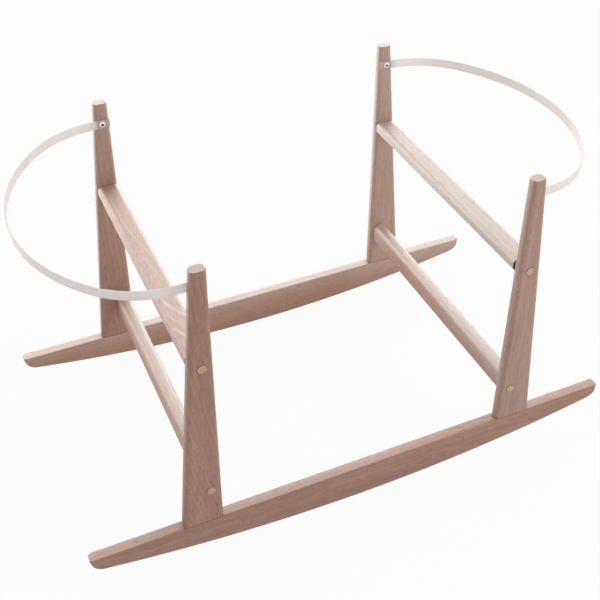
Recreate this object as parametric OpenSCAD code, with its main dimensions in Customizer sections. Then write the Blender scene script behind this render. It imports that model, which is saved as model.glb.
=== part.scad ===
// Rocking stand for a moses basket: two rockers, four tapered legs, four rails and two swinging straps.
// Millimetres. +X runs along the rockers, +Y to the rear frame, +Z up; the origin is on the floor in the middle.

/* [Rockers] */
// Length of each rocker from tip to tip
rocker_length = 860; // [800:5:880]
// Height of the rockers' flat tops above the floor
rocker_top = 60; // [57:1:70]
// Radius of the rockers' curved undersides
rocker_radius = 2350; // [2300:25:2800]
// Radius that softens the rockers' long top edges
rocker_edge = 2; // [1:0.5:5]
// Radius that rounds the rocker tips, seen from above
tip_edge = 7; // [4:0.5:8]
// Thickness of the boards that the rockers and legs are cut from
board = 18; // [17:1:22]

/* [Legs] */
// Height of the leg tops above the floor
leg_top = 513; // [500:1:540]
// Distance from the middle of the stand to the legs' upright inner edges
leg_inner = 231.5; // [225:0.5:240]
// Width of a leg where it stands on its rocker
leg_foot = 61; // [54:1:70]
// Width of a leg at its top
leg_head = 21.5; // [20:0.5:30]
// Radius that softens the legs' long edges
leg_edge = 7; // [3:0.5:8.5]
// Radius that softens the leg tops
leg_crown = 1.5; // [1:0.5:6]

/* [Rails] */
// Length of the rails, which is the gap between the front and rear frames
rail_length = 427; // [400:1:460]
// Width of the flat upper rails that the basket rests on
upper_width = 33; // [30:1:38]
// Thickness of the upper rails
upper_thickness = 20; // [18:1:24]
// Height of the upper rails' top faces above the floor
upper_top = 370; // [350:1:390]
// Thickness of the lower rails, which stand on edge
lower_thickness = 22; // [18:1:26]
// Height of the lower rails' section
lower_height = 40; // [36:1:46]
// Height of the lower rails' top edges above the floor
lower_top = 150; // [140:1:165]
// Radius that softens the upper rails' long edges
upper_edge = 7; // [3:0.5:8.5]
// Radius that rounds the lower rails' long edges
lower_edge = 8.5; // [3:0.5:8.5]

/* [Straps] */
// Height of the strap screws above the floor
strap_height = 480.5; // [470:0.5:490]
// Width of the strap
strap_width = 14; // [10:1:18]
// Thickness of the strap
strap_thickness = 1.6; // [1.2:0.1:2]
// Length of strap that runs straight out from the screw before it bends
strap_flat = 17; // [15:1:25]
// Radius of the hoop's two shoulders
strap_shoulder = 135; // [120:1:150]
// Angle that each shoulder turns through
strap_turn = 46.5; // [40:0.5:65]
// Angle by which the left hoop hangs below level at rest
left_droop = 1.5; // [0:0.5:6]
// Angle by which the right hoop hangs below level at rest
right_droop = 3.5; // [0:0.5:6]

/* [Fasteners] */
// Diameter of the plugs that hide the rail screws
plug_diameter = 13; // [11:0.5:14]
// How far the plugs stand proud of the legs
plug_proud = 1.2; // [0.2:0.1:1.5]
// Height of the upper rail screws above the floor
upper_screw = 358; // [357:0.5:362]
// Height of the lower rail screws above the floor
lower_screw = 124.5; // [122:0.5:127]
// Diameter of the strap screws' flanged heads
strap_head = 10; // [9:0.5:11]

/* [Hidden] */
$fn = 96;

beech = [0.80, 0.64, 0.52];
pale_wood = [0.86, 0.77, 0.58];
milky_plastic = [0.88, 0.86, 0.84];
zinc = [0.76, 0.77, 0.78];

// Facets on the rockers' large arc and on the strap hoops
arc_fn = 1440;
hoop_fn = 240;
// Extra length on every cutter, so that it passes clean through a face
over = 1;
// Gap around glued and driven pieces
fit = 0.05;
// Gap around the straps where they turn on their screws and against the legs
swing_gap = 0.3;
pin_gap = 0.1;

// Inner and outer faces of the rear frame; the front frame mirrors it
inner_face = rail_length / 2;
outer_face = inner_face + board;
board_middle = inner_face + board / 2;
tip = rocker_length / 2;

// The rocker's tip is an arc centred on the flat top and tangent to the underside
nose_radius = (2 * rocker_radius * rocker_top - rocker_top ^ 2 - tip ^ 2) / (2 * (rocker_radius - tip));
nose_x = tip - nose_radius;
nose_tangent = rocker_radius * nose_x / (rocker_radius - nose_radius);

leg_height = leg_top - rocker_top;
leg_slope = atan((leg_foot - leg_head) / leg_height);
function leg_outer(z) = leg_inner + leg_foot - (z - rocker_top) * tan(leg_slope);

// The upper rails are flush with the legs' inner edges, and both rails share one centre line
rail_x = leg_inner + upper_width / 2;
upper_middle = upper_top - upper_thickness / 2;
lower_middle = lower_top - lower_height / 2;

// Rail screws: a socket head at the bottom of a counterbore, with a plug over it
screw_length = 60;
screw_radius = 2.5;
screw_head = 4;
screw_head_radius = 5;
socket_width = 5;
socket_depth = 2.5;
plug_depth = 4.2;
counterbore_depth = plug_depth + screw_head + 0.3;
plug_dome = 0.5;

// Glued dowels
leg_dowel_radius = 4;
leg_dowel_length = 50;
leg_dowel_inset = 15;
leg_dowel_spacing = 30;
rail_dowel_radius = 3;
rail_dowel_length = 30;
rail_dowel_in_leg = 10;
upper_dowel_offset = 10.5;
lower_dowel_rise = 15.5;
dowel_chamfer = 1;

// Strap screws sit in the middle of the leg, and the straps' tails end short of its inner edge
strap_x = (leg_inner + leg_outer(strap_height)) / 2;
tail_inset = 2.5;
strap_tail = strap_x - leg_inner - tail_inset;
strap_middle = inner_face - swing_gap - strap_thickness / 2;
strap_screw_radius = 2;
strap_screw_depth = 14;
strap_flange = 0.7;
strap_pan_radius = 3.9;
strap_pan_height = 1.6;
recess_length = 5;
recess_width = 1.4;
recess_depth = 1.1;

// The strap's broad end arc is tangent to both shoulders
strap_end_y = strap_middle - strap_shoulder * (1 - cos(strap_turn));
strap_end_radius = strap_end_y / cos(strap_turn);
strap_end_x = strap_flat + (strap_shoulder - strap_end_radius) * sin(strap_turn);

function side_name(side) = side < 0 ? "left" : "right";
function row_name(row) = row < 0 ? "front" : "rear";

// Draws its children, which are modelled at the rear right, at one of the four corners
module corner(side, row) {
    mirror([side < 0 ? 1 : 0, 0, 0])
        mirror([0, row < 0 ? 1 : 0, 0])
            children();
}

// Waste outside a rounded edge that runs up Z from the origin, with the wood at +X and +Y
module edge_waste(length, radius) {
    difference() {
        translate([-over, -over, 0])
            cube([radius + over, radius + over, length]);
        translate([radius, radius, -over])
            cylinder(h = length + 2 * over, r = radius);
    }
}

// Round hole along Y into the rear frame, from y to y + depth
module hole(x, y, z, depth, radius) {
    translate([x, y + depth, z])
        rotate([90, 0, 0])
            cylinder(h = depth, r = radius);
}

module rounded_section(width, height, radius) {
    square([width - 2 * radius, height], center = true);
    square([width, height - 2 * radius], center = true);
    for (x = [-1, 1], y = [-1, 1])
        translate([x * (width / 2 - radius), y * (height / 2 - radius)])
            circle(radius);
}

module rocker_outline() {
    intersection() {
        translate([0, rocker_radius])
            circle(rocker_radius, $fn = arc_fn);
        translate([-nose_tangent, 0])
            square([2 * nose_tangent, rocker_top]);
    }
    for (side = [-1, 1])
        intersection() {
            translate([side * nose_x, rocker_top])
                circle(nose_radius);
            translate([side * (nose_x + nose_radius / 2), rocker_top / 2])
                square([nose_radius, rocker_top], center = true);
        }
}

module dowel(length, radius) {
    straight = length - 2 * dowel_chamfer;
    cylinder(h = dowel_chamfer, r1 = radius - dowel_chamfer, r2 = radius);
    translate([0, 0, dowel_chamfer])
        cylinder(h = straight, r = radius);
    translate([0, 0, dowel_chamfer + straight])
        cylinder(h = dowel_chamfer, r1 = radius, r2 = radius - dowel_chamfer);
}

// Runs its children at each of a leg's two foot dowels
module at_leg_dowels() {
    for (i = [0, 1])
        translate([leg_inner + leg_dowel_inset + i * leg_dowel_spacing, board_middle, rocker_top - leg_dowel_length / 2])
            children();
}

// Runs its children, modelled along +Z, at the upper rail's dowels in the rear leg
module at_upper_dowels() {
    for (offset = [-1, 1])
        translate([rail_x + offset * upper_dowel_offset, inner_face + rail_dowel_in_leg, upper_middle])
            rotate([90, 0, 0])
                children();
}

// Runs its children, modelled along +Z, at the lower rail's dowel in the rear leg
module at_lower_dowel() {
    translate([rail_x, inner_face + rail_dowel_in_leg, lower_screw + lower_dowel_rise])
        rotate([90, 0, 0])
            children();
}

module rail_dowel_hole() {
    translate([0, 0, -fit])
        cylinder(h = rail_dowel_length + 2 * fit, r = rail_dowel_radius + fit);
}

module rocker(row) {
    color(beech)
        mirror([0, row < 0 ? 1 : 0, 0])
            difference() {
                translate([0, outer_face, 0])
                    rotate([90, 0, 0])
                        linear_extrude(board)
                            rocker_outline();
                for (face = [0, 1])
                    translate([-tip - over, face == 0 ? inner_face : outer_face, rocker_top])
                        mirror([0, face, 0])
                            rotate([0, 90, 0])
                                edge_waste(rocker_length + 2 * over, rocker_edge);
                for (side = [-1, 1], face = [0, 1])
                    translate([side * tip, face == 0 ? inner_face : outer_face, 0])
                        mirror([side > 0 ? 1 : 0, 0, 0])
                            mirror([0, face, 0])
                                edge_waste(rocker_top + over, tip_edge);
                for (side = [-1, 1])
                    mirror([side < 0 ? 1 : 0, 0, 0])
                        at_leg_dowels()
                            translate([0, 0, -fit])
                                cylinder(h = leg_dowel_length, r = leg_dowel_radius + fit);
            }
}

module leg_blank() {
    translate([0, outer_face, 0])
        rotate([90, 0, 0])
            linear_extrude(board)
                polygon([
                    [leg_inner, rocker_top],
                    [leg_inner + leg_foot, rocker_top],
                    [leg_inner + leg_head, leg_top],
                    [leg_inner, leg_top]
                ]);
}

// Waste along the legs' rounded long edges and round their softened tops
module leg_waste() {
    for (face = [0, 1])
        translate([0, face == 0 ? inner_face : outer_face, 0])
            mirror([0, face, 0]) {
                translate([leg_inner, 0, rocker_top - over])
                    edge_waste(leg_height + 2 * over, leg_edge);
                translate([leg_inner + leg_foot, 0, rocker_top])
                    rotate([0, -leg_slope, 0])
                        translate([0, 0, -leg_edge])
                            mirror([1, 0, 0])
                                edge_waste(leg_height + 3 * leg_edge, leg_edge);
                translate([leg_inner - over, 0, leg_top])
                    rotate([0, 90, 0])
                        edge_waste(leg_head + 3 * over, leg_crown);
            }
    for (edge = [0, 1])
        translate([leg_inner + edge * leg_head, inner_face - over, leg_top])
            mirror([edge, 0, 0])
                rotate([-90, 0, 0])
                    edge_waste(board + 2 * over, leg_crown);
}

module leg(side, row) {
    color(beech)
        corner(side, row)
            difference() {
                leg_blank();
                leg_waste();
                for (z = [upper_screw, lower_screw]) {
                    hole(rail_x, inner_face - over, z, board + 2 * over, screw_radius + fit);
                    hole(rail_x, outer_face - counterbore_depth, z, counterbore_depth + over, plug_diameter / 2);
                }
                hole(strap_x, inner_face - over, strap_height, strap_screw_depth + over, strap_screw_radius + fit);
                at_upper_dowels() rail_dowel_hole();
                at_lower_dowel() rail_dowel_hole();
                at_leg_dowels() cylinder(h = leg_dowel_length + fit, r = leg_dowel_radius + fit);
            }
}

// A rail with a screw hole and dowel holes in both ends
module rail(side, width, height, edge, middle, screw_z) {
    pilot = screw_length - (board - counterbore_depth) + over;
    color(beech)
        mirror([side < 0 ? 1 : 0, 0, 0])
            difference() {
                translate([rail_x, inner_face, middle])
                    rotate([90, 0, 0])
                        linear_extrude(rail_length)
                            rounded_section(width, height, edge);
                for (row = [-1, 1])
                    mirror([0, row < 0 ? 1 : 0, 0]) {
                        hole(rail_x, inner_face - pilot, screw_z, pilot + over, screw_radius + fit);
                        children();
                    }
            }
}

module upper_rail(side) {
    rail(side, upper_width, upper_thickness, upper_edge, upper_middle, upper_screw)
        at_upper_dowels() rail_dowel_hole();
}

module lower_rail(side) {
    rail(side, lower_thickness, lower_height, lower_edge, lower_middle, lower_screw)
        at_lower_dowel() rail_dowel_hole();
}

// Area inside the hoop's centre line, grown by an amount and left open past the strap's ends
module hoop_area(grow) {
    half = strap_middle + grow;
    far = 2 * strap_end_radius;
    translate([-2 * strap_tail, -half])
        square([2 * strap_tail + strap_flat, 2 * half]);
    for (row = [-1, 1])
        translate([strap_flat, row * (strap_middle - strap_shoulder)])
            circle(strap_shoulder + grow, $fn = hoop_fn);
    intersection() {
        translate([strap_end_x, 0])
            circle(strap_end_radius + grow, $fn = hoop_fn);
        polygon([
            [strap_end_x, 0],
            [strap_end_x + far * sin(strap_turn), -far * cos(strap_turn)],
            [strap_end_x + far * sin(strap_turn), far * cos(strap_turn)]
        ]);
    }
}

module strap(side) {
    color(milky_plastic)
        mirror([side < 0 ? 1 : 0, 0, 0])
            translate([strap_x, 0, strap_height])
                rotate([0, side < 0 ? left_droop : right_droop, 0])
                    difference() {
                        linear_extrude(strap_width, center = true)
                            intersection() {
                                difference() {
                                    hoop_area(strap_thickness / 2);
                                    hoop_area(-strap_thickness / 2);
                                }
                                translate([-strap_tail, -rail_length / 2])
                                    square(rail_length);
                            }
                        rotate([90, 0, 0])
                            cylinder(h = rail_length, r = strap_screw_radius + pin_gap, center = true);
                    }
}

// Flanged pan-head screw with a cross recess; its shank runs down from the origin and its head up
module strap_screw(side, row) {
    head_top = strap_flange + strap_pan_height;
    shank = 2 * swing_gap + strap_thickness + strap_screw_depth - over;
    pan_sphere = (strap_pan_radius ^ 2 + strap_pan_height ^ 2) / (2 * strap_pan_height);
    color(zinc)
        corner(side, row)
            translate([strap_x, inner_face - 2 * swing_gap - strap_thickness, strap_height])
                rotate([90, 0, 0])
                    difference() {
                        union() {
                            translate([0, 0, -shank])
                                cylinder(h = shank + strap_flange, r = strap_screw_radius);
                            cylinder(h = strap_flange, r = strap_head / 2);
                            intersection() {
                                cylinder(h = head_top, r = strap_pan_radius);
                                translate([0, 0, head_top - pan_sphere])
                                    sphere(pan_sphere);
                            }
                        }
                        for (turn = [0, 90])
                            rotate([0, 0, turn])
                                translate([-recess_length / 2, -recess_width / 2, head_top - recess_depth])
                                    cube([recess_length, recess_width, recess_depth + over]);
                    }
}

// Socket-head screw that runs through a leg into the end of a rail
module rail_screw(side, row, z) {
    color(zinc)
        corner(side, row)
            translate([rail_x, outer_face - counterbore_depth + screw_head, z])
                rotate([90, 0, 0])
                    difference() {
                        union() {
                            cylinder(h = screw_head, r = screw_head_radius);
                            cylinder(h = screw_head + screw_length - over, r = screw_radius);
                        }
                        translate([0, 0, -over])
                            cylinder(h = socket_depth + over, d = socket_width / cos(30), $fn = 6);
                    }
}

// Slightly domed plug in the mouth of a counterbore
module plug(side, row, z) {
    radius = plug_diameter / 2 - fit;
    height = plug_depth + plug_proud;
    dome_sphere = (radius ^ 2 + plug_dome ^ 2) / (2 * plug_dome);
    color(pale_wood)
        corner(side, row)
            translate([rail_x, outer_face - plug_depth, z])
                rotate([-90, 0, 0])
                    intersection() {
                        cylinder(h = height, r = radius);
                        translate([0, 0, height - dome_sphere])
                            sphere(dome_sphere);
                    }
}

module leg_dowels(side, row) {
    color(pale_wood)
        corner(side, row)
            at_leg_dowels() dowel(leg_dowel_length - fit, leg_dowel_radius);
}

module upper_rail_dowels(side) {
    color(pale_wood)
        for (row = [-1, 1])
            corner(side, row)
                at_upper_dowels() dowel(rail_dowel_length, rail_dowel_radius);
}

module lower_rail_dowels(side) {
    color(pale_wood)
        for (row = [-1, 1])
            corner(side, row)
                at_lower_dowel() dowel(rail_dowel_length, rail_dowel_radius);
}

for (row = [-1, 1])
    rocker(row);

for (side = [-1, 1]) {
    name = side_name(side);
    upper_rail(side);
    lower_rail(side);
    strap(side);
    upper_rail_dowels(side);
    lower_rail_dowels(side);
}

for (row = [-1, 1], side = [-1, 1]) {
    name = str(row_name(row), "_", side_name(side));
    leg(side, row);
    strap_screw(side, row);
    rail_screw(side, row, upper_screw);
    rail_screw(side, row, lower_screw);
    plug(side, row, upper_screw);
    plug(side, row, lower_screw);
    leg_dowels(side, row);
}
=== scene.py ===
"""Looks of a rocking moses basket stand: lacquered beech, milky hoop straps, zinc screws and pale plugs."""

import math

import bmesh
import bpy
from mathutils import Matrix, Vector


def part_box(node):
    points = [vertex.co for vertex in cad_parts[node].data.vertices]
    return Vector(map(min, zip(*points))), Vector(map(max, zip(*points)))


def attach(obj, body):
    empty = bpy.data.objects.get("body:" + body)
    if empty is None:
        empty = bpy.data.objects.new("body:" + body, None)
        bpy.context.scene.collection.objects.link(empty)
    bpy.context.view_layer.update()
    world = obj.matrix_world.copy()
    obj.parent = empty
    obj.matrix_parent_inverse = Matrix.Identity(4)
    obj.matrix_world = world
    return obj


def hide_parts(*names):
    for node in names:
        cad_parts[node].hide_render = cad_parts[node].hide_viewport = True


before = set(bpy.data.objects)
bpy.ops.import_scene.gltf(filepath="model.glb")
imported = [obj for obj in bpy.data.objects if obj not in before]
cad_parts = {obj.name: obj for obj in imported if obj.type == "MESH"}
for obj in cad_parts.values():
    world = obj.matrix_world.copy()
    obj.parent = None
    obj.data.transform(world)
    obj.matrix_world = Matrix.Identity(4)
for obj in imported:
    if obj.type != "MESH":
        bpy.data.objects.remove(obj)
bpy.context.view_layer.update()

MM = 0.001
NEAR = 0.02 * MM
SIDES = {"left": -1, "right": 1}
ROWS = {"front": -1, "rear": 1}
LEVELS = ("upper", "lower")

# How round pieces and smooth faces are made
ROUND_SIDES = 48
SMOOTH_ANGLE = math.radians(40)
FACE_AREA_WEIGHT = 100
QUARTER_TURN = math.pi / 2

# The picture's camera: its place in metres, its angles in degrees and its framing in pixels
CAMERA_PLACE = (-0.5132, -1.1363, 1.2540)
CAMERA_AZIMUTH = -23.97
CAMERA_ELEVATION = 36.52
PICTURE_SIZE = 600
FOCAL_LENGTH = 1011.9
LENS_AXIS_COLUMN = 300.5
LENS_AXIS_ROW = 240.4
SENSOR_WIDTH = 36

# Rocker sizes that its box doesn't give
ROCKER_RADIUS = 2350 * MM
ROCKER_TOP_EDGE = 2 * MM
ROCKER_FOOT_EDGE = 1.4 * MM
TIP_EDGE = 7 * MM
TIP_LIP = 2.6 * MM
TIP_END_ANGLE = math.radians(84)

# Leg sizes that its box doesn't give, and the seams at the legs' feet and the rails' ends
LEG_HEAD = 21.5 * MM
LEG_EDGE = 7 * MM
LEG_CROWN = 1.5 * MM
SEAM = 0.8 * MM

# Rounded long edges of the rails
RAIL_EDGES = {"upper": 7 * MM, "lower": 8.5 * MM}

# Straps: their tails run on past the screws, and outside the legs they hang free
STRAP_WIDTH = 14 * MM
STRAP_THICKNESS = 1.6 * MM
STRAP_EDGE = 0.45 * MM
STRAP_FLAT = 17 * MM
STRAP_REAR_TAIL = 11.6 * MM
STRAP_FRONT_TAIL = 6.4 * MM
STRAP_SHOULDER = 135 * MM
STRAP_TURN = math.radians(46.5)
STRAP_DROOPS = {"left": math.radians(1.5), "right": math.radians(3.5)}
STRAP_FREE_START = 250.5 * MM
STRAP_FREE_END = 253.5 * MM
SWING_GAP = 0.3 * MM

# Fasteners
PLUG_RADIUS = 6.4 * MM
PLUG_DEPTH = 4.2 * MM
PLUG_PROUD = 1.0 * MM
PLUG_RIM = 0.4 * MM
PLUG_DOME = ((1.4 * MM, 0.1 * MM), (1.8 * MM, 0.06 * MM), (1.4 * MM, 0.03 * MM))
COUNTERBORE_RADIUS = 6.55 * MM
COUNTERBORE_FLARE = 0.45 * MM
COUNTERBORE_SPARE = 0.3 * MM
FLANGE_RADIUS = 5 * MM
FLANGE_HEIGHT = 0.7 * MM
FLANGE_EDGE = 0.25 * MM
PAN_RADIUS = 3.9 * MM
PAN_HEIGHT = 1.6 * MM
PAN_ARC = math.radians(78)
PAN_FULLNESS = 0.6
SHANK_RADIUS = 2 * MM
SHANK_LENGTH = 15.2 * MM
RECESS_LENGTH = 6.4 * MM
RECESS_WIDTH = 2.4 * MM
RECESS_DEPTH = 1.5 * MM
RECESS_TAPER = (0.45, 0.6, 1)
RECESS_TURN = math.radians(20)
CUTTER_OVERLAP = 1 * MM


# Modelling

def add(name, operator, scale=(1, 1, 1), **settings):
    """Adds a primitive under a name, alone in the selection, with its size and place in its mesh."""
    bpy.ops.object.select_all(action="DESELECT")
    operator(**settings)
    piece = bpy.context.object
    piece.name = name
    piece.scale = scale
    bpy.ops.object.transform_apply(location=True, rotation=True, scale=True)
    return piece


def block(name, low, high):
    """A box between two corners."""
    low = Vector(low)
    high = Vector(high)
    return add(name, bpy.ops.mesh.primitive_cube_add, size=1, location=(low + high) / 2, scale=high - low)


def alone(piece):
    """Makes a piece the only selected one."""
    bpy.ops.object.select_all(action="DESELECT")
    piece.select_set(True)
    bpy.context.view_layer.objects.active = piece


def edit(piece):
    """Opens a piece in edit mode."""
    alone(piece)
    bpy.ops.object.mode_set(mode="EDIT")


def done():
    """Leaves edit mode."""
    bpy.ops.object.mode_set(mode="OBJECT")


def pick(kind, test):
    """In edit mode, selects the VERT, EDGE or FACE parts whose every corner passes a test on its place."""
    bpy.ops.mesh.select_mode(type=kind)
    bpy.ops.mesh.select_all(action="DESELECT")
    mesh = bmesh.from_edit_mesh(bpy.context.object.data)
    parts = {"VERT": mesh.verts, "EDGE": mesh.edges, "FACE": mesh.faces}[kind]
    for part in parts:
        points = [part] if kind == "VERT" else part.verts
        if all(test(point.co) for point in points):
            part.select_set(True)
    bmesh.update_edit_mesh(bpy.context.object.data)


def pick_long_edges(axis, length):
    """In edit mode, selects the edges that run the whole length of a piece along an axis."""
    bpy.ops.mesh.select_mode(type="EDGE")
    bpy.ops.mesh.select_all(action="DESELECT")
    mesh = bmesh.from_edit_mesh(bpy.context.object.data)
    for edge in mesh.edges:
        start, end = edge.verts
        if abs(end.co[axis] - start.co[axis]) > length - NEAR:
            edge.select_set(True)
    bmesh.update_edit_mesh(bpy.context.object.data)


def near(a, b):
    """Whether two places on an axis are the same, apart from rounding."""
    return abs(a - b) < NEAR


def round_edges(radius, segments):
    """In edit mode, rounds the selected edges."""
    bpy.ops.mesh.bevel(offset=radius, segments=segments, affect="EDGES", clamp_overlap=True)


def push(x, y, z):
    """In edit mode, draws the selected faces out by a step."""
    bpy.ops.mesh.extrude_region_move(TRANSFORM_OT_translate={"value": (x, y, z)})


def finish_picked(piece, number):
    """In edit mode, gives the selected faces one of the piece's finishes."""
    piece.active_material_index = number
    bpy.ops.object.material_slot_assign()


def apply_modifier(piece, kind, **settings):
    """Adds a modifier with its settings and applies it."""
    alone(piece)
    modifier = piece.modifiers.new(kind.lower(), kind)
    for name, value in settings.items():
        setattr(modifier, name, value)
    bpy.ops.object.modifier_apply(modifier=modifier.name)


def cut(piece, cutter):
    """Takes a cutter's shape out of a piece. The cut faces take the cutter's finish, where it has one."""
    finishes = "TRANSFER" if cutter.data.materials else "INDEX"
    apply_modifier(piece, "BOOLEAN", operation="DIFFERENCE", solver="EXACT", material_mode=finishes,
                   object=cutter)
    bpy.data.objects.remove(cutter)


def face_outwards(piece):
    """Turns every face of a piece outwards."""
    edit(piece)
    bpy.ops.mesh.select_all(action="SELECT")
    bpy.ops.mesh.normals_make_consistent(inside=False)
    done()


def place(piece, location, rotation=(0, 0, 0)):
    """Moves a piece that was modelled at the origin, and writes its place into its mesh."""
    alone(piece)
    piece.location = location
    piece.rotation_euler = rotation
    bpy.ops.object.transform_apply(location=True, rotation=True, scale=True)


def mirrored(piece, name, side, row):
    """A copy, with its own mesh, of a piece modelled at the rear right, at another corner."""
    alone(piece)
    bpy.ops.object.duplicate()
    copy = bpy.context.object
    copy.name = name
    copy.scale = (side, row, 1)
    bpy.ops.object.transform_apply(location=True, rotation=True, scale=True)
    face_outwards(copy)
    return copy


def dress(piece, finish, body, node):
    """Smooths a finished piece, gives it its finish and hangs it on its body in place of its solid."""
    alone(piece)
    bpy.ops.object.shade_smooth_by_angle(angle=SMOOTH_ANGLE)
    apply_modifier(piece, "WEIGHTED_NORMAL", keep_sharp=True, weight=FACE_AREA_WEIGHT)
    if piece.data.materials:
        piece.data.materials[0] = finish
    else:
        piece.data.materials.append(finish)
    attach(piece, body)
    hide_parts(node)


# Shading

def srgb(red, green, blue):
    """A colour given as 0 to 255 display values, as the shader takes it."""
    def linear(value):
        share = value / 255
        return share / 12.92 if share <= 0.04045 else ((share + 0.055) / 1.055) ** 2.4
    return (linear(red), linear(green), linear(blue), 1)


class Wire:
    """A socket of a shader tree. Sums on wires add Math nodes."""

    def __init__(self, tree, socket):
        self.tree = tree
        self.socket = socket

    def node(self, kind, settings=None, sockets=None, output=0):
        """Adds a node, with its settings first and then the values or wires of its sockets."""
        made = self.tree.nodes.new("ShaderNode" + kind)
        for name, value in (settings or {}).items():
            setattr(made, name, value)
        for name, value in (sockets or {}).items():
            if isinstance(value, Wire):
                self.tree.links.new(value.socket, made.inputs[name])
            else:
                made.inputs[name].default_value = value
        return Wire(self.tree, made.outputs[output]) if made.outputs else made

    def math(self, operation, first, second=0.0):
        """A sum of one or two values or wires."""
        return self.node("Math", {"operation": operation}, {0: first, 1: second})

    def __add__(self, other):
        return self.math("ADD", self, other)

    def __radd__(self, other):
        return self.math("ADD", other, self)

    def __sub__(self, other):
        return self.math("SUBTRACT", self, other)

    def __rsub__(self, other):
        return self.math("SUBTRACT", other, self)

    def __mul__(self, other):
        return self.math("MULTIPLY", self, other)

    def __rmul__(self, other):
        return self.math("MULTIPLY", other, self)

    def __truediv__(self, other):
        return self.math("DIVIDE", self, other)

    def __rtruediv__(self, other):
        return self.math("DIVIDE", other, self)

    def step(self, low, high):
        """0 below low, 1 above high and smooth between."""
        settings = {"interpolation_type": "SMOOTHSTEP"}
        return self.node("MapRange", settings, {"Value": self, "From Min": low, "From Max": high})

    def stretched(self, x, y, z):
        """A vector with each axis multiplied by its own number."""
        return self.node("VectorMath", {"operation": "MULTIPLY"}, {0: self, 1: (x, y, z)})

    def noise(self, scale, detail=2.0, roughness=0.5):
        """Smooth noise from about 0 to 1, at the place that this wire gives."""
        sockets = {"Vector": self, "Scale": scale, "Detail": detail, "Roughness": roughness}
        return self.node("TexNoise", {"noise_dimensions": "3D"}, sockets)

    def axes(self):
        """A vector's X, Y and Z."""
        split = self.node("SeparateXYZ", {}, {0: self}).socket.node
        return [Wire(self.tree, socket) for socket in split.outputs]

    def tint(self, first, second):
        """A colour between two, by this wire's share."""
        return self.node("Mix", {"data_type": "RGBA"}, {0: self, 6: first, 7: second}, 2)


def new_material(name):
    """A material with an empty tree, and the wire of its object coordinates."""
    material = bpy.data.materials.new(name)
    material.use_nodes = True
    material.node_tree.nodes.clear()
    coordinates = material.node_tree.nodes.new("ShaderNodeTexCoord")
    return material, Wire(material.node_tree, coordinates.outputs["Object"])


def surface(wire, sockets):
    """Ends a tree in one principled surface."""
    shader = wire.node("BsdfPrincipled", {}, sockets)
    wire.node("OutputMaterial", {}, {"Surface": shader})


# Turns that lay the pattern's X along a board's grain
ALONG_X = (0, 0, 0)
ALONG_Y = (0, 0, -QUARTER_TURN)
ALONG_Z = (0, QUARTER_TURN, 0)

# Tones of the lacquered wood and its marks
BEECH_DARK = srgb(154, 112, 92)
BEECH_LIGHT = srgb(180, 136, 114)
BEECH_LINE = srgb(210, 186, 170)
BEECH_FLECK = srgb(132, 90, 72)
# The pin knots' tone also paints the shadow line at the legs' feet.
BEECH_PIN_AND_FOOT_SHADOW = srgb(101, 58, 45)
# The two sap tones are pale sapwood and also a painted highlight on tops and lit sides.
BEECH_SAP_AND_HIGHLIGHT = srgb(204, 189, 176)
BEECH_SAP_AND_HIGHLIGHT_DARK = srgb(190, 174, 161)
# The heart tone is heartwood and also painted shade on lower and shaded faces.
BEECH_HEART_AND_SHADE = srgb(125, 85, 67)
# Painted highlight on the legs' tops.
BEECH_PAINTED_CROWN_HIGHLIGHT = srgb(213, 201, 192)

# How far the tree's heart wanders across and under a board
GRAIN_SWAY = 20 * MM
GRAIN_RIPPLE = 6 * MM

# How much each pattern moves the tone
YEAR_TONE = 0.3
PATCH_TONE = 1.3
STREAK_TONE = 0.9
MOTTLE_TONE = 1.4
FIBRE_TONE = 0.6

# How strong the marks are, and where they start and end
FLECK_ON_BROWN = 0.4
FLECK_ON_PALE = 0.12
# The heart share also sets how strong the painted shade is.
HEART_AND_SHADE_SHARE = 0.5
# A painted shadow line at the legs' feet, where they sit on the rockers.
FOOT_PAINTED_SHADOW_SHARE = 0.7
FOOT_PAINTED_SHADOW_START = 0.8 * MM
FOOT_PAINTED_SHADOW_END = 1.8 * MM
# A painted highlight that pales the legs' crowns.
CROWN_HIGHLIGHT_SHARE = 0.2
CROWN_HIGHLIGHT_DEPTH = 0.8 * MM
PIN_SHARE = 0.75
PIN_CORE = 0.6 * MM
PIN_RIM = 2.6 * MM


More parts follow.
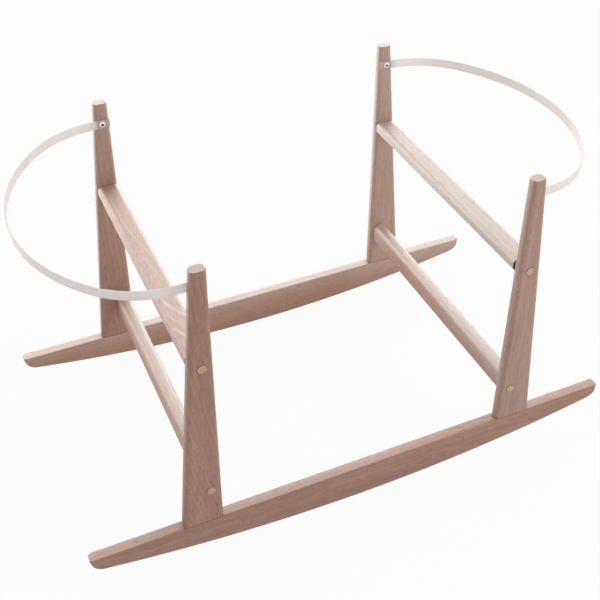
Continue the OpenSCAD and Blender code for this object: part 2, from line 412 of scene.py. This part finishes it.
def beech(name, grain, shift, heart, slope=0.0, bend=0.0, ring=7.5 * MM, lines=0.3, sap_and_highlight=0.0,
          sap_and_highlight_growth=(0, 0, 0), most=1.0, light=0.5, ends=None, pins=()):
    """Satin lacquered beech, with the pattern's X along the grain. The tree's heart is at an offset across
    and under the face, leaves the board at a slope and bends. Shift gives each piece its own figure, ring is
    the width of a year's growth and lines the strength of the pale lines between years. Sap is the share of
    paler wood at the origin, which grows by so much a metre to the most there is, and less than none is
    darker heartwood; on some pieces this share is set to paint tops and lit sides paler, a painted
    highlight, and lower or shaded faces darker, painted shade. Light is how far the wood is from its darkest
    tone to its lightest. Ends are the heights of an upright piece's foot, above which a painted shadow line
    shows where it sits, and of its crown, which a painted highlight makes pale. Pins are the places of dark
    pin knots."""
    material, coordinates = new_material(name)
    board = coordinates.node("Mapping", {"vector_type": "POINT"},
                             {"Vector": coordinates, "Location": shift, "Rotation": grain})

    def drawn_out(along_grain, across_grain, detail=2.0, roughness=0.5):
        """Noise with so many turns a metre along and across the grain."""
        return board.stretched(along_grain, across_grain, across_grain).noise(1.0, detail, roughness)

    along, across, depth = board.axes()
    length = along - shift[0]
    leaving = length * slope + length * length * bend
    sway = drawn_out(4.0, 10.0) - 0.5
    ripple = drawn_out(14.0, 30.0) - 0.5
    radial = board.node("CombineXYZ", {}, {
        "Y": across + heart[0] + sway * GRAIN_SWAY,
        "Z": depth + heart[1] + leaving + ripple * GRAIN_RIPPLE,
    })
    radius = board.node("VectorMath", {"operation": "LENGTH"}, {0: radial}, 1)
    rings = radius / ring
    year = rings.math("FRACT", rings)
    count = rings.math("FLOOR", rings)
    chance = rings.node("TexWhiteNoise", {"noise_dimensions": "1D"}, {"W": count})
    strength = drawn_out(9.0, 60.0).step(0.35, 0.65)
    rise = year.step(0.66, 0.86)
    fall = year.step(0.88, 1.0)
    line = rise * (1 - fall) * strength * chance.step(0.25, 0.9)
    patch = drawn_out(6.0, 45.0)
    streak = drawn_out(11.0, 330.0)
    mottle = drawn_out(90.0, 380.0, detail=3.0, roughness=0.6)
    fibre = drawn_out(40.0, 1500.0, roughness=0.6)
    fleck = drawn_out(110.0, 560.0, detail=1.0).step(0.58, 0.68)
    figure = (year - 0.5) * YEAR_TONE + (patch - 0.5) * PATCH_TONE + (streak - 0.5) * STREAK_TONE
    tone = light + figure + (mottle - 0.5) * MOTTLE_TONE + (fibre - 0.5) * FIBRE_TONE
    # Painted light and shade: besides pale sapwood, this share grows across a piece so that tops and lit
    # sides are painted paler, and below none the heartwood tone paints shade.
    measured = coordinates.node("VectorMath", {"operation": "DOT_PRODUCT"}, {0: coordinates, 1: sap_and_highlight_growth}, 1)
    sap_and_highlight_share = measured + sap_and_highlight
    brown = (fleck * FLECK_ON_BROWN).tint(tone.tint(BEECH_DARK, BEECH_LIGHT), BEECH_FLECK)
    pale = (fleck * FLECK_ON_PALE).tint(tone.tint(BEECH_SAP_AND_HIGHLIGHT_DARK, BEECH_SAP_AND_HIGHLIGHT), BEECH_FLECK)
    colour = sap_and_highlight_share.math("MINIMUM", sap_and_highlight_share, most).tint(brown, pale)
    colour = ((0 - sap_and_highlight_share) * HEART_AND_SHADE_SHARE).tint(colour, BEECH_HEART_AND_SHADE)
    colour = (line * lines).tint(colour, BEECH_LINE)
    if ends:
        foot, crown = ends
        height = coordinates.axes()[2]
        # Painted shadow: a dark line just above the foot, where the leg meets the rocker.
        above = height.step(foot + FOOT_PAINTED_SHADOW_START, foot + FOOT_PAINTED_SHADOW_END)
        colour = ((1 - above) * FOOT_PAINTED_SHADOW_SHARE).tint(colour, BEECH_PIN_AND_FOOT_SHADOW)
        # Painted highlight: the crown is paled towards the top.
        colour = (height.step(crown - CROWN_HIGHLIGHT_DEPTH, crown) * CROWN_HIGHLIGHT_SHARE).tint(colour, BEECH_PAINTED_CROWN_HIGHLIGHT)
    for pin in pins:
        away = coordinates.node("VectorMath", {"operation": "DISTANCE"}, {0: coordinates, 1: pin}, 1)
        colour = ((1 - away.step(PIN_CORE, PIN_RIM)) * PIN_SHARE).tint(colour, BEECH_PIN_AND_FOOT_SHADOW)
    pores = fibre * 0.7 - fleck * 0.5
    normal = board.node("Bump", {}, {"Strength": 0.08, "Distance": 0.2 * MM, "Height": pores})
    surface(board, {
        "Base Color": colour,
        "Roughness": 0.54 + fibre * 0.12 + fleck * 0.08,
        "Normal": normal,
        "Specular IOR Level": 1.0,
    })
    return material


END_GRAIN_AND_SHADE_DARK = srgb(72, 51, 43)
END_GRAIN_AND_SHADE_LIGHT = srgb(107, 80, 67)


def end_grain_and_shade():
    """Beech cut across the grain, which drinks the lacquer and turns dark, with close pores. It is darker
    than that alone gives, as painted shade, for it also lines the seams at the legs' feet and the gaps round
    the plugs.
    """
    material, coordinates = new_material("beech_end_grain_and_shade")
    pores = coordinates.noise(2200.0, 2.0).step(0.35, 0.65)
    colour = pores.tint(END_GRAIN_AND_SHADE_DARK, END_GRAIN_AND_SHADE_LIGHT)
    normal = pores.node("Bump", {}, {"Strength": 0.1, "Distance": 0.1 * MM, "Height": pores})
    surface(pores, {"Base Color": colour, "Roughness": 0.7 - pores * 0.1, "Normal": normal})
    return material


PLUG_GROUND = srgb(195, 166, 132)
PLUG_PALE = srgb(209, 184, 152)
PLUG_PORE = srgb(155, 128, 89)


def plug_wood():
    """Pale plugs cut across the grain, with growth rings and open pores on their faces."""
    material, coordinates = new_material("plug_wood")
    across = coordinates.stretched(1.0, 0.05, 1.0)
    rings = across.noise(160.0, 3.0, 0.6)
    pores = across.noise(2600.0, 1.0).step(0.62, 0.72)
    colour = rings.step(0.3, 0.7).tint(PLUG_GROUND, PLUG_PALE)
    colour = (pores * 0.5).tint(colour, PLUG_PORE)
    normal = across.node("Bump", {}, {"Strength": 0.15, "Distance": 0.1 * MM, "Height": 1 - pores})
    surface(across, {
        "Base Color": colour,
        "Roughness": 0.45 + rings * 0.2,
        "Normal": normal,
        "Coat Weight": 0.1,
    })
    return material


STRAP_WHITE = srgb(244, 240, 238)
STRAP_CLOUD = srgb(236, 231, 228)
STRAP_GLOW = srgb(243, 239, 237)
STRAP_PAINTED_SHOW_THROUGH = srgb(195, 168, 156)
STRAP_PAINTED_SHOW_THROUGH_SHARE = 0.9
STRAP_GLOW_SHARE = 0.5


def strap_plastic():
    """Milky polyethylene that lets light through, with faint clouds and drawing lines. Where its ends lie
    against the legs, the wood seen through them is painted into their colour, and only where it hangs free
    does it glow."""
    material, coordinates = new_material("strap_plastic")
    cloud = coordinates.noise(45.0, 3.0)
    lines = coordinates.stretched(20.0, 20.0, 900.0).noise(1.0, 2.0)
    colour = (cloud.step(0.3, 0.7) * 0.6 + lines * 0.4).tint(STRAP_WHITE, STRAP_CLOUD)
    side = coordinates.axes()[0]
    reach = side.math("ABSOLUTE", side)
    free = reach.step(STRAP_FREE_START, STRAP_FREE_END)
    # Painted light: where the ends lie on the legs, the wood seen through the plastic is painted into the
    # colour.
    colour = ((1 - free) * STRAP_PAINTED_SHOW_THROUGH_SHARE).tint(colour, STRAP_PAINTED_SHOW_THROUGH)
    normal = cloud.node("Bump", {}, {"Strength": 0.02, "Distance": 0.1 * MM, "Height": lines})
    skin = cloud.node("BsdfPrincipled", {}, {
        "Base Color": colour,
        "Roughness": 0.5 + cloud * 0.12,
        "Normal": normal,
        "Specular IOR Level": 0.3,
    })
    glow = cloud.node("BsdfTranslucent", {}, {"Color": STRAP_GLOW})
    mixed = cloud.node("MixShader", {}, {0: free * STRAP_GLOW_SHARE, 1: skin, 2: glow})
    cloud.node("OutputMaterial", {}, {"Surface": mixed})
    return material


ZINC_BRIGHT = srgb(242, 242, 242)
ZINC_DULL = srgb(206, 208, 211)


def zinc():
    """Bright zinc plate with faint spangle and turning marks."""
    material, coordinates = new_material("zinc_plate")
    spangle = coordinates.noise(900.0, 3.0, 0.6)
    scuffs = coordinates.stretched(900.0, 900.0, 6000.0).noise(1.0, 2.0)
    colour = spangle.step(0.35, 0.75).tint(ZINC_BRIGHT, ZINC_DULL)
    normal = spangle.node("Bump", {}, {"Strength": 0.08, "Distance": 0.05 * MM, "Height": scuffs})
    surface(spangle, {
        "Base Color": colour,
        "Metallic": 1.0,
        "Roughness": 0.2 + spangle * 0.2,
        "Normal": normal,
    })
    return material


RECESS_SHADE_GREY = srgb(70, 70, 74)
RECESS_SHADE_BLACK = srgb(34, 34, 36)


def recess_painted_shade():
    """Painted shade: the dull dark walls and bottom of a screw's cross recess, where shade falls."""
    material, coordinates = new_material("recess_painted_shade")
    specks = coordinates.noise(1800.0, 2.0)
    colour = specks.step(0.35, 0.65).tint(RECESS_SHADE_GREY, RECESS_SHADE_BLACK)
    surface(specks, {"Base Color": colour, "Metallic": 0.6, "Roughness": 0.55 + specks * 0.2})
    return material


# Rockers

def arc_drop(reach, radius):
    """How far a quarter round has fallen away at a reach from where it starts."""
    reach = min(max(reach, 0), radius)
    return radius - math.sqrt(radius ** 2 - reach ** 2)


def model_rocker(name):
    """Half a rocker, drawn out from its middle section station by station, then mirrored."""
    low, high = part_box("rear_rocker")
    tip = high.x
    top = high.z
    middle = (low.y + high.y) / 2
    board = high.y - low.y
    nose = (2 * ROCKER_RADIUS * top - top ** 2 - tip ** 2) / (2 * (ROCKER_RADIUS - tip))
    nose_x = tip - nose
    nose_start = ROCKER_RADIUS * nose_x / (ROCKER_RADIUS - nose)
    start_angle = math.asin((nose_start - nose_x) / nose)
    straight_steps = 14
    nose_steps = 14

    turned = (0, QUARTER_TURN, 0)
    piece = add(name, bpy.ops.mesh.primitive_plane_add, size=1, location=(0, middle, top / 2),
                rotation=turned, scale=(top, board, 1))
    edit(piece)
    for corner, radius in ((top, ROCKER_TOP_EDGE), (0, ROCKER_FOOT_EDGE)):
        pick("VERT", lambda at: near(at.z, corner))
        bpy.ops.mesh.bevel(offset=radius, segments=4, affect="VERTICES")
    pick("FACE", lambda at: True)
    last_x = 0
    last_bottom = 0
    for step in range(1, straight_steps + 1):
        x = nose_start * step / straight_steps
        bottom = arc_drop(x, ROCKER_RADIUS)
        push(x - last_x, 0, 0)
        pick("VERT", lambda at: near(at.x, x) and at.z < (last_bottom + top) / 2)
        bpy.ops.transform.translate(value=(0, 0, bottom - last_bottom))
        pick("FACE", lambda at: near(at.x, x))
        last_x = x
        last_bottom = bottom
    last_width = board
    last_top = top
    for step in range(1, nose_steps + 1):
        angle = start_angle + (TIP_END_ANGLE - start_angle) * step / nose_steps
        x = nose_x + nose * math.sin(angle)
        bottom = top - nose * math.cos(angle)
        lip = top - arc_drop(x - tip + TIP_LIP, TIP_LIP)
        width = board - 2 * arc_drop(x - tip + TIP_EDGE, TIP_EDGE)
        push(x - last_x, 0, 0)
        share = (1, width / last_width, (lip - bottom) / (last_top - last_bottom))
        centre = (last_top + last_bottom) / 2
        bpy.ops.transform.resize(value=share, center_override=(x, middle, centre))
        bpy.ops.transform.translate(value=(0, 0, (lip + bottom) / 2 - centre))
        last_x = x
        last_bottom = bottom
        last_top = lip
        last_width = width
    pick("FACE", lambda at: near(at.x, 0))
    bpy.ops.mesh.delete(type="FACE")
    done()
    apply_modifier(piece, "MIRROR", use_axis=(True, False, False), merge_threshold=NEAR)
    face_outwards(piece)
    return piece


# Legs

def model_leg(name, wood, bore_and_foot_shade):
    """A tapered leg at the rear right, with rounded long edges, a soft crown and two counterbores."""
    low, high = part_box("rear_right_leg")
    piece = block(name, low, high)
    piece.data.materials.append(wood)
    piece.data.materials.append(bore_and_foot_shade)
    edit(piece)
    pick("VERT", lambda at: near(at.x, high.x) and near(at.z, high.z))
    bpy.ops.transform.translate(value=(low.x + LEG_HEAD - high.x, 0, 0))
    pick_long_edges(2, high.z - low.z)
    round_edges(LEG_EDGE, segments=8)
    pick("EDGE", lambda at: near(at.z, high.z))
    round_edges(LEG_CROWN, segments=6)
    pick("EDGE", lambda at: near(at.z, low.z))
    round_edges(SEAM, segments=2)
    # The foot takes the dark end-grain finish: partly real end grain, partly painted shadow of the seam on
    # the rocker.
    pick("FACE", lambda at: at.z < low.z + SEAM + NEAR)
    finish_picked(piece, 1)
    done()
    for level in LEVELS:
        plug_low, plug_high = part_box(f"rear_right_{level}_plug")
        cutter = counterbore((plug_low + plug_high) / 2, high.y)
        # The counterbore's walls take the dark finish too: partly end grain, partly painted shadow in the
        # gap round the plug.
        cutter.data.materials.append(bore_and_foot_shade)
        cut(piece, cutter)
    return piece


def counterbore(centre, face):
    """Cutter for a plug's hole, with a slightly flared mouth."""
    start = face - PLUG_DEPTH - COUNTERBORE_SPARE
    cutter = add("counterbore", bpy.ops.mesh.primitive_cylinder_add, vertices=ROUND_SIDES,
                 radius=COUNTERBORE_RADIUS, depth=face - start,
                 location=(centre.x, (start + face) / 2, centre.z), rotation=(QUARTER_TURN, 0, 0))
    edit(cutter)
    pick("FACE", lambda at: near(at.y, face))
    push(0, 2 * COUNTERBORE_FLARE, 0)
    flare = 1 + 2 * COUNTERBORE_FLARE / COUNTERBORE_RADIUS
    bpy.ops.transform.resize(value=(flare, 1, flare), center_override=(centre.x, face, centre.z))
    bpy.ops.mesh.select_all(action="SELECT")
    bpy.ops.transform.translate(value=(0, -COUNTERBORE_FLARE, 0))
    done()
    face_outwards(cutter)
    return cutter


# Rails

def model_rail(name, node, edge, wood, end):
    """A straight rail with rounded long edges, and lightly eased ends with a finish of their own."""
    low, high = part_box(node)
    piece = block(name, low, high)
    piece.data.materials.append(wood)
    piece.data.materials.append(end)
    edit(piece)
    pick_long_edges(1, high.y - low.y)
    round_edges(edge, segments=10)
    for face in (low.y, high.y):
        pick("EDGE", lambda at: near(at.y, face))
        round_edges(SEAM, segments=2)
        pick("FACE", lambda at: abs(at.y - face) < SEAM + NEAR)
        finish_picked(piece, 1)
    done()
    return piece


# Straps

def model_strap(name):
    """A hoop that lies level towards +X: its section is drawn straight out past the rear screw, round the
    shoulders and the broad end and straight back past the front screw."""
    leg_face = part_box("rear_right_leg")[0].y
    line = leg_face - SWING_GAP - STRAP_THICKNESS / 2
    shoulder_y = line - STRAP_SHOULDER
    end_y = line - STRAP_SHOULDER * (1 - math.cos(STRAP_TURN))
    end_radius = end_y / math.cos(STRAP_TURN)
    end_x = STRAP_FLAT + (STRAP_SHOULDER - end_radius) * math.sin(STRAP_TURN)
    shoulder_steps = 20
    end_steps = 36
    end_turn = math.pi - 2 * STRAP_TURN

    turned = (0, QUARTER_TURN, 0)
    piece = add(name, bpy.ops.mesh.primitive_plane_add, size=1, location=(-STRAP_REAR_TAIL, line, 0),
                rotation=turned, scale=(STRAP_WIDTH, STRAP_THICKNESS, 1))
    edit(piece)
    bpy.ops.mesh.select_all(action="SELECT")
    bpy.ops.mesh.bevel(offset=STRAP_EDGE, segments=3, affect="VERTICES")
    bpy.ops.mesh.select_all(action="SELECT")
    push(STRAP_REAR_TAIL + STRAP_FLAT, 0, 0)
    upright = (0, 0, 1)
    bpy.ops.mesh.spin(steps=shoulder_steps, angle=STRAP_TURN, center=(STRAP_FLAT, shoulder_y, 0),
                      axis=upright)
    bpy.ops.mesh.spin(steps=end_steps, angle=end_turn, center=(end_x, 0, 0), axis=upright)
    bpy.ops.mesh.spin(steps=shoulder_steps, angle=STRAP_TURN, center=(STRAP_FLAT, -shoulder_y, 0),
                      axis=upright)
    push(-STRAP_FRONT_TAIL - STRAP_FLAT, 0, 0)
    done()
    face_outwards(piece)
    return piece


def hang_strap(pattern, side_name):
    """A copy of the level hoop, hung on one side's screws at its droop."""
    low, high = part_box(f"rear_{side_name}_strap_screw")
    side = SIDES[side_name]
    strap = mirrored(pattern, f"{side_name}_hoop_strap", side, 1)
    axis = ((low.x + high.x) / 2, 0, (low.z + high.z) / 2)
    place(strap, axis, (0, side * STRAP_DROOPS[side_name], 0))
    return strap


# Fasteners

def model_strap_screw(name, plate, recess_shade):
    """A flanged pan-head screw with a cross recess, modelled upright and laid into the rear right leg."""
    rings = 6
    piece = add(name, bpy.ops.mesh.primitive_cylinder_add, vertices=ROUND_SIDES, radius=FLANGE_RADIUS,
                depth=FLANGE_HEIGHT, location=(0, 0, FLANGE_HEIGHT / 2))
    piece.data.materials.append(plate)
    edit(piece)
    pick("FACE", lambda at: near(at.z, FLANGE_HEIGHT))
    bpy.ops.mesh.inset(thickness=FLANGE_RADIUS - PAN_RADIUS)
    last_radius = PAN_RADIUS
    last_z = FLANGE_HEIGHT
    for ring in range(1, rings + 1):
        angle = PAN_ARC * ring / rings
        radius = PAN_RADIUS * math.cos(angle) ** PAN_FULLNESS
        z = FLANGE_HEIGHT + PAN_HEIGHT * math.sin(angle) / math.sin(PAN_ARC)
        push(0, 0, z - last_z)
        share = radius / last_radius
        bpy.ops.transform.resize(value=(share, share, 1), center_override=(0, 0, z))
        last_radius = radius
        last_z = z
    pick("FACE", lambda at: near(at.z, 0))
    bpy.ops.mesh.inset(thickness=FLANGE_RADIUS - SHANK_RADIUS)
    push(0, 0, -SHANK_LENGTH)
    pick("EDGE", lambda at: at.xy.length > FLANGE_RADIUS - NEAR)
    round_edges(FLANGE_EDGE, segments=3)
    done()
    head_top = FLANGE_HEIGHT + PAN_HEIGHT
    for turn in (0, QUARTER_TURN):
        slot = block("recess", (-RECESS_LENGTH / 2, -RECESS_WIDTH / 2, head_top - RECESS_DEPTH),
                     (RECESS_LENGTH / 2, RECESS_WIDTH / 2, head_top + CUTTER_OVERLAP))
        # The recess's faces take a dark finish of painted shade.
        slot.data.materials.append(recess_shade)
        edit(slot)
        pick("FACE", lambda at: near(at.z, head_top - RECESS_DEPTH))
        bpy.ops.transform.resize(value=RECESS_TAPER, center_override=(0, 0, 0))
        done()
        place(slot, (0, 0, 0), (0, 0, turn))
        cut(piece, slot)
    low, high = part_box("rear_right_strap_screw")
    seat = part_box("rear_right_leg")[0].y - 2 * SWING_GAP - STRAP_THICKNESS
    place(piece, (0, 0, 0), (0, 0, RECESS_TURN))
    place(piece, ((low.x + high.x) / 2, seat, (low.z + high.z) / 2), (QUARTER_TURN, 0, 0))
    return piece


def model_plug(name, level):
    """A plug with an eased rim and a slight dome, in the mouth of a counterbore at the rear right."""
    low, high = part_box(f"rear_right_{level}_plug")
    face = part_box("rear_right_leg")[1].y
    centre = (low + high) / 2
    middle = face + (PLUG_PROUD - PLUG_DEPTH) / 2
    piece = add(name, bpy.ops.mesh.primitive_cylinder_add, vertices=ROUND_SIDES, radius=PLUG_RADIUS,
                depth=PLUG_DEPTH + PLUG_PROUD, location=(centre.x, middle, centre.z),
                rotation=(QUARTER_TURN, 0, 0))
    edit(piece)
    front = face + PLUG_PROUD
    pick("EDGE", lambda at: near(at.y, front))
    round_edges(PLUG_RIM, segments=3)
    for inset, rise in PLUG_DOME:
        pick("FACE", lambda at: near(at.y, front) and (at - centre).xz.length < PLUG_RADIUS)
        bpy.ops.mesh.inset(thickness=inset)
        bpy.ops.transform.translate(value=(0, rise, 0))
        front += rise
    done()
    return piece


# Camera, floor and light

def make_camera():
    """The camera at its place, with its lens axis off the picture's middle."""
    azimuth = math.radians(CAMERA_AZIMUTH)
    elevation = math.radians(CAMERA_ELEVATION)
    level = math.cos(elevation)
    back = Vector((math.sin(azimuth) * level, -math.cos(azimuth) * level, math.sin(elevation)))
    lens = bpy.data.cameras.new("camera")
    lens.sensor_width = SENSOR_WIDTH
    lens.lens = FOCAL_LENGTH / PICTURE_SIZE * SENSOR_WIDTH
    lens.shift_x = (PICTURE_SIZE / 2 - LENS_AXIS_COLUMN) / PICTURE_SIZE
    lens.shift_y = (LENS_AXIS_ROW - PICTURE_SIZE / 2) / PICTURE_SIZE
    camera = bpy.data.objects.new("camera", lens)
    camera.location = CAMERA_PLACE
    camera.rotation_euler = (-back).to_track_quat("-Z", "Y").to_euler()
    bpy.context.scene.collection.objects.link(camera)
    bpy.context.scene.camera = camera


def seen_ray(wire):
    """1 for rays that show the background as it is: from the camera, off shiny faces and through plastic."""
    path = wire.node("LightPath").socket.node
    kinds = ("Camera", "Glossy", "Transmission")
    camera, glossy, through = [Wire(wire.tree, path.outputs[f"Is {kind} Ray"]) for kind in kinds]
    return camera.math("MAXIMUM", camera.math("MAXIMUM", camera, glossy), through)


FLOOR_SIZE = 12
FLOOR_PAPER = (0.9, 0.9, 0.9, 1)
FLOOR_WHITENESS = 0.94
WHITE = (1, 1, 1, 1)
WORLD_LEVEL = 0.51


def make_floor():
    """A white table that shows as white, with the stand's shadow faint on it."""
    floor = add("floor", bpy.ops.mesh.primitive_plane_add, size=FLOOR_SIZE)
    material, wire = new_material("floor_white")
    paper = wire.node("BsdfDiffuse", {}, {"Color": FLOOR_PAPER})
    glow = wire.node("Emission", {}, {"Color": WHITE, "Strength": 1.0})
    shown = wire.node("MixShader", {}, {0: seen_ray(wire) * FLOOR_WHITENESS, 1: paper, 2: glow})
    wire.node("OutputMaterial", {}, {"Surface": shown})
    floor.data.materials.append(material)


def make_world():
    """Soft light from all round, behind a background that shows as white."""
    world = bpy.data.worlds.new("studio")
    world.use_nodes = True
    tree = world.node_tree
    tree.nodes.clear()
    path = Wire(tree, None)
    soft = path.node("Background", {}, {"Color": WHITE, "Strength": WORLD_LEVEL})
    white = path.node("Background", {}, {"Color": WHITE, "Strength": 1.0})
    shown = path.node("MixShader", {}, {0: seen_ray(path), 1: soft, 2: white})
    path.node("OutputWorld", {}, {"Surface": shown})
    bpy.context.scene.world = world


def lamp(name, place_at, aim, width, height, brightness):
    """A soft box that points at a spot. Its brightness is that of its own face, where 1 is white."""
    light = bpy.data.lights.new(name, "AREA")
    light.shape = "RECTANGLE"
    light.size = width
    light.size_y = height
    light.energy = brightness * math.pi * width * height
    box = bpy.data.objects.new(name, light)
    box.location = place_at
    box.rotation_euler = (Vector(aim) - Vector(place_at)).to_track_quat("-Z", "Y").to_euler()
    box.visible_camera = False
    bpy.context.scene.collection.objects.link(box)
    return box


def corners():
    """The name, side and row of each of the stand's corners."""
    for row_name, row in ROWS.items():
        for side_name, side in SIDES.items():
            yield f"{row_name}_{side_name}", side, row


# Stage: the floor card and the shine card only show as reflections
make_camera()
make_world()
make_floor()
lamp("back_panel", place_at=(0, 2.4, 1.5), aim=(0, 0, 1.5), width=7.0, height=3.0, brightness=1.0)
floor_card = lamp("back_floor", place_at=(0, 1.4, 0.004), aim=(0, 1.4, 1), width=6.0, height=2.0,
                  brightness=2.8)
floor_card.visible_diffuse = False
shine_card = lamp("shine_card", place_at=(0, 2.5, 1.5), aim=(0, 0, 1.5), width=7.0, height=3.0,
                  brightness=6.3)
shine_card.visible_diffuse = False
lamp("right_panel", place_at=(1.5, -1.1, 1.3), aim=(0.1, 0, 0.3), width=1.2, height=1.2, brightness=2.8)
bpy.context.scene.view_settings.view_transform = "Standard"

# Finishes that several pieces share
zinc_plate = zinc()
milky_plastic = strap_plastic()
plug_finish = plug_wood()
ends_and_gap_shade = end_grain_and_shade()

# The two rockers
ROCKER_PINS = ((-0.361, -0.2226, 0.060), (-0.203, -0.2315, 0.0347))
rear_rocker = model_rocker("rear_bowed_rocker")
front_rocker = mirrored(rear_rocker, "front_bowed_rocker", 1, -1)
# Painted light and shade: the front rocker's pale share grows towards its back edge and upwards, so its top
# is painted paler and its front face and foot darker.
front_grain = beech("beech_front_rocker", ALONG_X, shift=(0.55, 0.23, -0.03), heart=(0.05, 0.01),
                    slope=0.03, lines=0.12, sap_and_highlight=4.743, sap_and_highlight_growth=(0.15, 22, 5), light=0.45, pins=ROCKER_PINS)
# Painted light and shade: the rear rocker's pale share grows upwards, so its top is painted paler and its
# foot darker.
rear_grain = beech("beech_rear_rocker", ALONG_X, shift=(1.7, -0.22, -0.03), heart=(0.06, 0.0),
                   slope=-0.02, lines=0.12, sap_and_highlight=-0.45, sap_and_highlight_growth=(0.35, 0, 15), light=1.2)
dress(front_rocker, front_grain, "stand", "front_rocker")
dress(rear_rocker, rear_grain, "stand", "rear_rocker")

# The legs, each with a figure of its own, and their screws and plugs
LEG_FIGURES = {
    "front_left": {"heart": (0.005, 0.10), "slope": -0.30, "bend": 0.26, "lines": 0.2, "sap_and_highlight": 0.02,
                   "sap_and_highlight_growth": (0, 0, -0.14), "pins": ((-0.2407, -0.2315, 0.0902),)},
    "front_right": {"heart": (0.02, 0.09), "slope": 0.02, "sap_and_highlight": 0.17, "light": 0.6},
    "rear_left": {"heart": (0.03, 0.08), "slope": -0.04, "sap_and_highlight": -0.09, "sap_and_highlight_growth": (0, 0, 0.66)},
    "rear_right": {"heart": (0.02, 0.10), "slope": 0.06, "sap_and_highlight": 0.2, "sap_and_highlight_growth": (0, 0, 0.35), "light": 0.95},
}
LEG_MIDDLE_X = 262 * MM
LEG_MIDDLE_Y = 222.5 * MM
LEG_FIGURE_SPACING = 0.7
leg_ends = [corner.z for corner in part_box("rear_right_leg")]
leg_grains = {}
for number, (corner, side, row) in enumerate(corners()):
    shift = (LEG_FIGURE_SPACING * number, -row * LEG_MIDDLE_Y, side * LEG_MIDDLE_X)
    leg_grains[corner] = beech(f"beech_{corner}_leg", ALONG_Z, shift, ends=leg_ends, **LEG_FIGURES[corner])
leg_pattern = model_leg("leg_pattern", leg_grains["rear_right"], ends_and_gap_shade)
screw_pattern = model_strap_screw("screw_pattern", zinc_plate, recess_painted_shade())
plug_patterns = {level: model_plug(f"{level}_plug_pattern", level) for level in LEVELS}
for corner, side, row in corners():
    leg = mirrored(leg_pattern, f"{corner}_tapered_leg", side, row)
    dress(leg, leg_grains[corner], "stand", f"{corner}_leg")
    screw = mirrored(screw_pattern, f"{corner}_hoop_screw", side, row)
    dress(screw, zinc_plate, "stand", f"{corner}_strap_screw")
    for level, pattern in plug_patterns.items():
        plug = mirrored(pattern, f"{corner}_{level}_wood_plug", side, row)
        dress(plug, plug_finish, "stand", f"{corner}_{level}_plug")
for pattern in (leg_pattern, screw_pattern, *plug_patterns.values()):
    bpy.data.objects.remove(pattern)

# The two straps
hoop_pattern = model_strap("hoop_pattern")
for side_name in SIDES:
    strap = hang_strap(hoop_pattern, side_name)
    dress(strap, milky_plastic, f"{side_name}_hoop", f"{side_name}_strap")
bpy.data.objects.remove(hoop_pattern)

# The four rails, each with a figure of its own
RAIL_NAMES = {"upper": "basket_rail", "lower": "stretcher_rail"}
RAIL_FIGURES = {
    "left_upper": {"heart": (0.033, 0.05), "slope": -0.10, "bend": 0.35, "ring": 6 * MM, "lines": 1.0,
                   "sap_and_highlight": 1.4, "sap_and_highlight_growth": (5, -0.2, 0), "light": 0.75},
    "right_upper": {"heart": (0.006, 0.042), "slope": 0.06,
                    "sap_and_highlight": 0.8, "sap_and_highlight_growth": (0, -0.3, 0), "light": 1.0},
    # Painted highlight: the left lower rail's pale share grows steeply across it, so its side and top under
    # the upper rail's shade are painted paler.
    "left_lower": {"heart": (0.006, 0.042), "slope": 0.06,
                   "sap_and_highlight": 23.22, "sap_and_highlight_growth": (90, 0.4, 0), "most": 0.85, "light": 1.0},
    # Painted light and shade: the right lower rail's pale share grows with height and outwards, so its top
    # is painted paler and its inner side darker.
    "right_lower": {"heart": (0.006, 0.042), "slope": 0.06,
                    "sap_and_highlight": -13.47, "sap_and_highlight_growth": (40, -1.6, 30), "light": 1.1},
}
RAIL_MIDDLE_X = 248 * MM
RAIL_FIGURE_START = 0.4
RAIL_FIGURE_HEIGHT = 360 * MM
for number, (side_name, side) in enumerate(SIDES.items()):
    for level, kind in RAIL_NAMES.items():
        node = f"{side_name}_{level}_rail"
        shift = (RAIL_FIGURE_START + number, side * RAIL_MIDDLE_X, -RAIL_FIGURE_HEIGHT)
        grain = beech(f"beech_{node}", ALONG_Y, shift, **RAIL_FIGURES[f"{side_name}_{level}"])
        rail = model_rail(f"{side_name}_{kind}", node, RAIL_EDGES[level], grain, ends_and_gap_shade)
        dress(rail, grain, "stand", node)

# The dowels and rail screws inside keep their solids
dowel_finish = beech("dowel_wood", ALONG_Z, shift=(0.1, 0.1, 0.1), heart=(0.03, 0.0))
for node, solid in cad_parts.items():
    if node.endswith("_dowels"):
        solid.data.materials.clear()
        solid.data.materials.append(dowel_finish)
    elif node.endswith("_upper_screw") or node.endswith("_lower_screw"):
        solid.data.materials.clear()
        solid.data.materials.append(zinc_plate)
